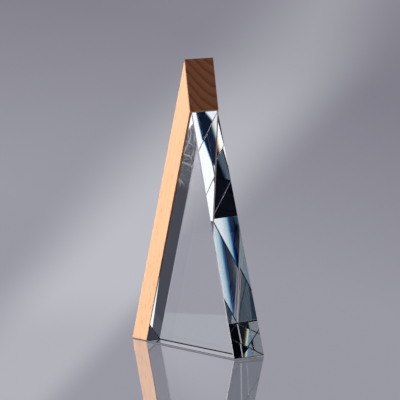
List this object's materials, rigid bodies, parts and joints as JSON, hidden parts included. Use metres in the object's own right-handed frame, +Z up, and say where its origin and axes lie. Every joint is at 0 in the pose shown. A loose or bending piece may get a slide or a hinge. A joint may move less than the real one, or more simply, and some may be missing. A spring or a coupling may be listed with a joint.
{
  "type": "crystal award",
  "caption": "Tall peak-shaped optical-crystal prism with a solid wood slat bonded along one slope and running past its tip, free-standing on a flat base, given as an award.",
  "frame": {"origin": "middle of the underside, on the surface that the award stands on", "axes": "+Z up towards the tip of the slat; +Y from the front face to the back face; +X from the wood slat towards the crystal's free foot"},
  "size_m": [0.1472, 0.0337, 0.2496],
  "materials": {
    "crystal": "polished optical crystal, fine ground bevels",
    "beech": "sanded and matt-oiled solid beech, long grain up the slat",
    "adhesive": "thin dark brown adhesive line",
    "mirror": "silvered mirror backing seen through the crystal"
  },
  "bodies": {
    "root": {"crystal": "crystal", "slat": "beech", "bond": "adhesive", "mirror_backing": "mirror"}
  },
  "joints": []
}
